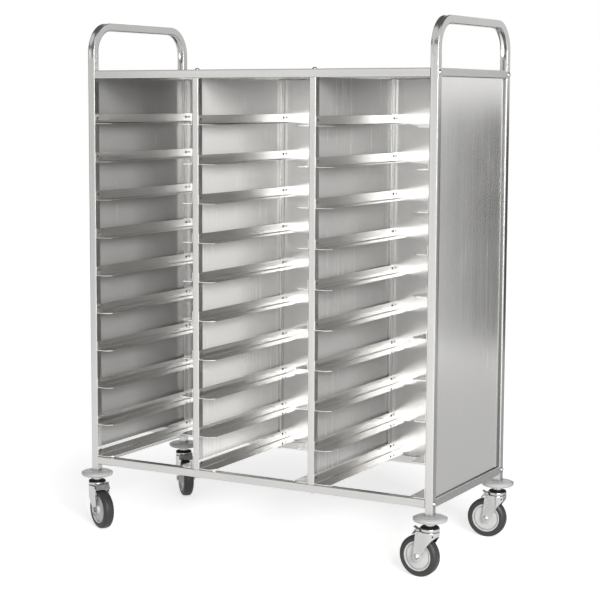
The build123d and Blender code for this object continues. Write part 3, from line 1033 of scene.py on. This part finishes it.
@dataclass
class Castor:
    """The turning parts of one castor: fork, axle, wheel and brake pedal."""

    corner: str
    wheel_radius: float = 0.0625
    rim_radius: float = 0.0445
    tread_half: float = 0.0175
    rim_half: float = 0.0165
    rim_ring: float = 0.0042
    rim_groove: float = 0.0074
    groove_depth: float = 0.009
    face_depth: float = 0.003
    boss_radius: float = 0.014
    boss_half: float = 0.0232
    bore: float = 0.0051
    tyre_steps: int = 128
    hub_steps: int = 96
    axle: np.ndarray = field(init=False)
    across: np.ndarray = field(init=False)

    def __post_init__(self) -> None:
        """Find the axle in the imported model's joints."""
        joint = next(j for j in frame["joints"] if j["name"] == f"{self.corner}_roll")
        self.axle = np.array(joint["pos_m"])
        self.across = np.array(joint["axis"])

    def both_sides(self, half: list[Triple], steps: int) -> np.ndarray:
        """Rounded profile of one side of the wheel and its mirror image.

        Args:
            half: (r, h, reach) of the corners on the side with positive h.
            steps: Points on each corner's curve.

        Returns:
            Rows of (r, h), closed.
        """
        other = [(r, -h, reach) for r, h, reach in reversed(half)]
        return rounded(half + other, closed=True, steps=steps)

    def tyre_profile(self) -> np.ndarray:
        """Crowned tread between shallow shoulder grooves, rounded into upright side walls.

        Returns:
            Rows of (r, h), closed.
        """
        top, side, low = self.wheel_radius, self.tread_half, self.rim_radius
        half = [
            # Side wall, from the rim to the shoulder.
            (low, side - 0.0008, 0.0004),
            (low + 0.003, side, 0.001),
            (top - 0.009, side, 0.005),
            # Shoulder groove.
            (top - 0.0014, side - 0.0052, 0.003),
            (top - 0.0008, side - 0.0072, 0.0004),
            (top - 0.0014, side - 0.0077, 0.0003),
            (top - 0.0005, side - 0.0083, 0.0004),
            # Crown of the tread.
            (top, 0.004, 0.003),
        ]
        return self.both_sides(half, 6)

    def hub_profile(self) -> np.ndarray:
        """Dished disc with a bearing boss, a dark groove and a raised rim ring on both sides.

        Returns:
            Rows of (r, h), closed.
        """
        rim = self.rim_radius
        ring, groove = rim - self.rim_ring, rim - self.rim_groove
        face, floor = self.rim_half - self.face_depth, self.rim_half - self.groove_depth
        half = [
            # Bearing boss.
            (self.bore, self.boss_half, 0.0002),
            (self.boss_radius, self.boss_half, 0.001),
            (self.boss_radius + 0.001, face + 0.001, 0.001),
            # Dished face and groove.
            (groove - 0.004, face, 0.004),
            (groove, face - 0.0006, 0.0012),
            (groove, floor, 0.0004),
            (ring, floor, 0.0004),
            # Rim ring.
            (ring, self.rim_half, 0.0009),
            (rim, self.rim_half, 0.0009),
        ]
        return self.both_sides(half, 5)

    def build(self) -> None:
        """Make the wheel and dress the fork, the axle and the pedal."""
        body = f"{self.corner}_wheel"
        tyre = turned(self.tyre_profile(), self.axle, self.across, self.tyre_steps)
        make_piece(f"{self.corner}_tread", [tyre], TYRE_GREY, body, (f"{self.corner}_tyre",))
        hub = turned(self.hub_profile(), self.axle, self.across, self.hub_steps)
        make_piece(f"{self.corner}_wheel_disc", [hub], HUB_GREY, body, (f"{self.corner}_wheel_hub",))
        dress((f"{self.corner}_fork",), PLATED)
        worn = ("axle_bolt", "axle_nut", "brake_pedal")
        dress((f"{self.corner}_{part}" for part in worn), WORN_PLATED)


def stage_sheet(name: str, corners: list[Triple], material: bpy.types.Material) -> bpy.types.Object:
    """Flat sheet with four corners that belongs to the studio.

    Args:
        name: Name of the sheet.
        corners: Its corners, in order.
        material: Its material.

    Returns:
        The object.
    """
    mesh = bpy.data.meshes.new(name)
    mesh.from_pydata(corners, [], [(0, 1, 2, 3)])
    mesh.materials.append(material)
    sheet = bpy.data.objects.new(name, mesh)
    bpy.context.scene.collection.objects.link(sheet)
    return sheet


def glowing(name: str, colour: float) -> tuple[bpy.types.Material, bpy.types.Node]:
    """Matt grey material that also glows white.

    Args:
        name: Name of the material.
        colour: Its grey.

    Returns:
        The material and its shader, whose glow is still to be set.
    """
    material = bpy.data.materials.new(name)
    material.use_nodes = True
    shader = material.node_tree.nodes["Principled BSDF"]
    shader.inputs["Base Color"].default_value = (colour, colour, colour, 1)
    shader.inputs["Specular IOR Level"].default_value = 0.0
    shader.inputs["Emission Color"].default_value = (1, 1, 1, 1)
    return material, shader


@dataclass(frozen=True)
class Lamp:
    """Square soft lamp: where it stands, the length of its side and its power."""

    name: str
    place: Triple
    side: float
    watts: float

    def build(self, aim: Triple) -> None:
        """Make the lamp and point it at a place.

        Args:
            aim: The place.
        """
        light = bpy.data.lights.new(self.name, "AREA")
        light.size = self.side
        light.energy = self.watts
        lamp = bpy.data.objects.new(self.name, light)
        lamp.location = self.place
        lamp.rotation_euler = (Vector(aim) - Vector(self.place)).to_track_quat("-Z", "Y").to_euler()
        bpy.context.scene.collection.objects.link(lamp)


@dataclass(frozen=True)
class Card:
    """Matt card that only reflections show, to shade the steel as dark parts of a studio do."""

    name: str
    middle: Triple
    size: tuple[float, float]
    faces: Triple
    grey: float

    def build(self) -> None:
        """Make the card and turn it the way it faces."""
        turn = Vector(self.faces).to_track_quat("Z", "Y").to_matrix()
        width, height = self.size[0] / 2, self.size[1] / 2
        flat = [(-width, -height, 0), (width, -height, 0), (width, height, 0), (-width, height, 0)]
        material, shader = glowing(self.name, 0.0)
        shader.inputs["Emission Strength"].default_value = self.grey
        card = stage_sheet(self.name, [Vector(self.middle) + turn @ Vector(p) for p in flat], material)
        card.visible_camera = False
        card.visible_diffuse = False
        card.visible_shadow = False


LAMPS = (
    Lamp("front_left_softbox", place=(-1.9, -4.6, 1.2), side=2.4, watts=6.0),
    Lamp("front_right_softbox", place=(3.0, -6.0, 1.5), side=2.0, watts=85.0),
    Lamp("key_softbox", place=(4.6, -4.6, 3.0), side=2.6, watts=400.0),
)
CARDS = (
    Card("ceiling_card", (0.0, 2.5, 4.8), (12.0, 7.0), faces=(0, 0, -1), grey=0.15),
    Card("front_left_card", (-3.3, -5.6, 3.8), (5.0, 1.6), faces=(0.5, 0.87, -0.2), grey=0.15),
    Card("front_right_card", (3.9, -7.0, 3.5), (7.5, 4.0), faces=(-0.47, 0.88, 0), grey=0.05),
    Card("left_card", (-5.0, -1.0, 2.2), (6.0, 5.0), faces=(1, 0.1, 0), grey=0.25),
    Card("rear_right_card", (1.1, 3.4, 0.72), (2.65, 1.3), faces=(0.2, -1, 0), grey=0.07),
    Card("floor_card", (1.75, 1.9, 0.004), (2.1, 3.2), faces=(0, 0, 1), grey=0.56),
)


@dataclass
class Studio:
    """Pale floor, white surroundings, soft lamps and the photograph's camera.

    The floor's glow rises from floor_lift to far_lift across lift_reach, a distance from the middle.
    """

    floor_half: float = 14.0
    floor_colour: float = 0.86
    floor_roughness: float = 0.9
    floor_lift: float = 0.6
    far_lift: float = 0.8
    lift_reach: tuple[float, float] = (0.7, 1.8)
    ambient: float = 0.24
    lamp_aim: Triple = (0.0, 0.0, 0.8)
    camera_place: Triple = (2.5065, -4.5758, 1.3836)
    azimuth: float = 29.838
    elevation: float = 6.307
    roll: float = 0.109
    focal_pixels: float = 1651.87
    frame_pixels: float = 600.0
    middle_pixels: tuple[float, float] = (263.5, 282.8)
    sensor_width: float = 36.0
    sight: float = 100.0

    def seen_directly(self, sheet: NodeSheet) -> Socket:
        """Mask of rays that show the background: camera, glossy and transmission rays.

        Args:
            sheet: The nodes to add to.

        Returns:
            The mask's socket.
        """
        path = sheet.add("ShaderNodeLightPath")
        seen = sheet.maths("MAXIMUM", path.outputs["Is Camera Ray"], path.outputs["Is Glossy Ray"])
        return sheet.maths("MAXIMUM", seen, path.outputs["Is Transmission Ray"])

    def surroundings(self) -> None:
        """White surroundings for what is seen, softer light on what is lit."""
        world = bpy.data.worlds.new("white_surroundings")
        bpy.context.scene.world = world
        world.use_nodes = True
        sheet = NodeSheet(world.node_tree)
        background = world.node_tree.nodes["Background"]
        background.inputs["Color"].default_value = (1, 1, 1, 1)
        strength = sheet.plus(sheet.times(self.seen_directly(sheet), 1 - self.ambient), self.ambient)
        sheet.link(strength, background.inputs["Strength"])

    def floor(self) -> None:
        """Pale floor that keeps the shadow near the trolley and is lifted toward white farther away."""
        material, shader = glowing("pale_floor", self.floor_colour)
        shader.inputs["Roughness"].default_value = self.floor_roughness
        sheet = NodeSheet(material.node_tree)
        away = sheet.add("ShaderNodeVectorMath", operation="LENGTH")
        sheet.link(sheet.add("ShaderNodeTexCoord").outputs["Object"], away.inputs[0])
        lift = sheet.ramp(away.outputs["Value"], self.lift_reach, (self.floor_lift, self.far_lift))
        sheet.link(sheet.times(self.seen_directly(sheet), lift), shader.inputs["Emission Strength"])
        half = self.floor_half
        corners = [(-half, -half, 0), (half, -half, 0), (half, half, 0), (-half, half, 0)]
        stage_sheet("floor", corners, material)

    def camera(self) -> None:
        """Camera at the photograph's place, shifted to where the photograph has its middle."""
        a, e, r = radians(self.azimuth), radians(self.elevation), radians(self.roll)
        back = Vector((sin(a) * cos(e), -cos(a) * cos(e), sin(e)))
        right = Vector((cos(a), sin(a), 0))
        up = back.cross(right)
        turned_right = right * cos(r) + up * sin(r)
        turned_up = up * cos(r) - right * sin(r)
        pose = Matrix((turned_right, turned_up, back)).transposed().to_4x4()
        pose.translation = self.camera_place
        data = bpy.data.cameras.new("photo_camera")
        data.sensor_width = self.sensor_width
        data.lens = self.sensor_width * self.focal_pixels / self.frame_pixels
        data.shift_x = 0.5 - self.middle_pixels[0] / self.frame_pixels
        data.shift_y = self.middle_pixels[1] / self.frame_pixels - 0.5
        data.clip_end = self.sight
        camera = bpy.data.objects.new("photo_camera", data)
        camera.matrix_world = pose
        bpy.context.scene.collection.objects.link(camera)
        bpy.context.scene.camera = camera

    def build(self) -> None:
        """Set up the surroundings, the floor, the lamps, the cards and the camera."""
        bpy.context.scene.view_settings.view_transform = "Standard"
        self.surroundings()
        self.floor()
        for lamp in LAMPS:
            lamp.build(self.lamp_aim)
        for card in CARDS:
            card.build()
        self.camera()


def main() -> None:
    """Build the trolley's looks, then the studio."""
    logging.basicConfig(level=logging.INFO, format="%(name)s %(message)s")
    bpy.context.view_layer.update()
    for side, way in SIDES:
        EndFrame(side, way).build()
    Cabinet().build()
    Fasteners().build()
    CastorTops().build()
    for corner in CORNERS:
        Castor(corner).build()
    Studio().build()


if __name__ == "__main__":
    main()
